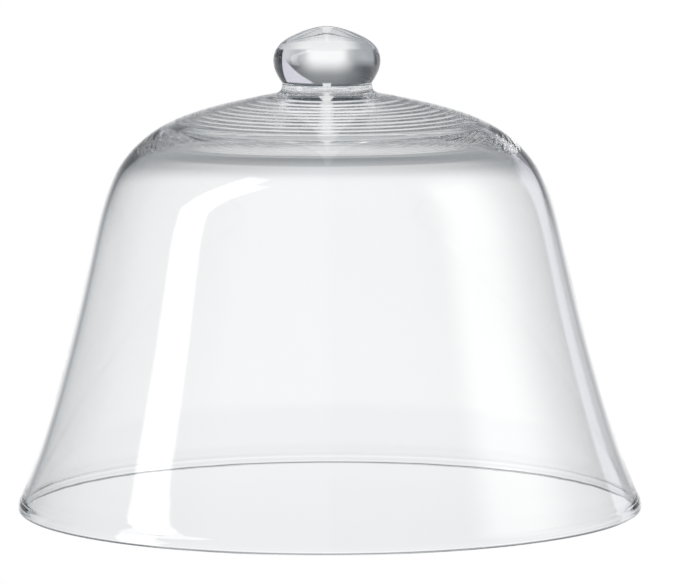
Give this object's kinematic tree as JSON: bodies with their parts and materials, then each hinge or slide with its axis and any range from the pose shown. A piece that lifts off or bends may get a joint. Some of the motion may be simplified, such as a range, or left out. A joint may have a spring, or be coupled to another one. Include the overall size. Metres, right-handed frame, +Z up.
{
  "type": "bell jar dome",
  "caption": "Clear glass bell-shaped display dome with a rippled crown, flared skirt, rounded rim and a solid glass knob on a short collar, set down over objects.",
  "frame": {"origin": "centre of the ground land under the rim, where the bell stands", "axes": "+Z up along the bell's axis of revolution to the top of the knob; X and Y are free, because every piece is a full revolution about +Z"},
  "size_m": [0.28, 0.28, 0.2164],
  "materials": {
    "bell_glass": "clear blown glass, smooth and glossy, fire-polished rim",
    "knob_glass": "clear solid glass, smooth and glossy"
  },
  "bodies": {
    "root": {"bell_shell": "bell_glass", "neck_collar": "knob_glass", "knob": "knob_glass"}
  },
  "joints": []
}
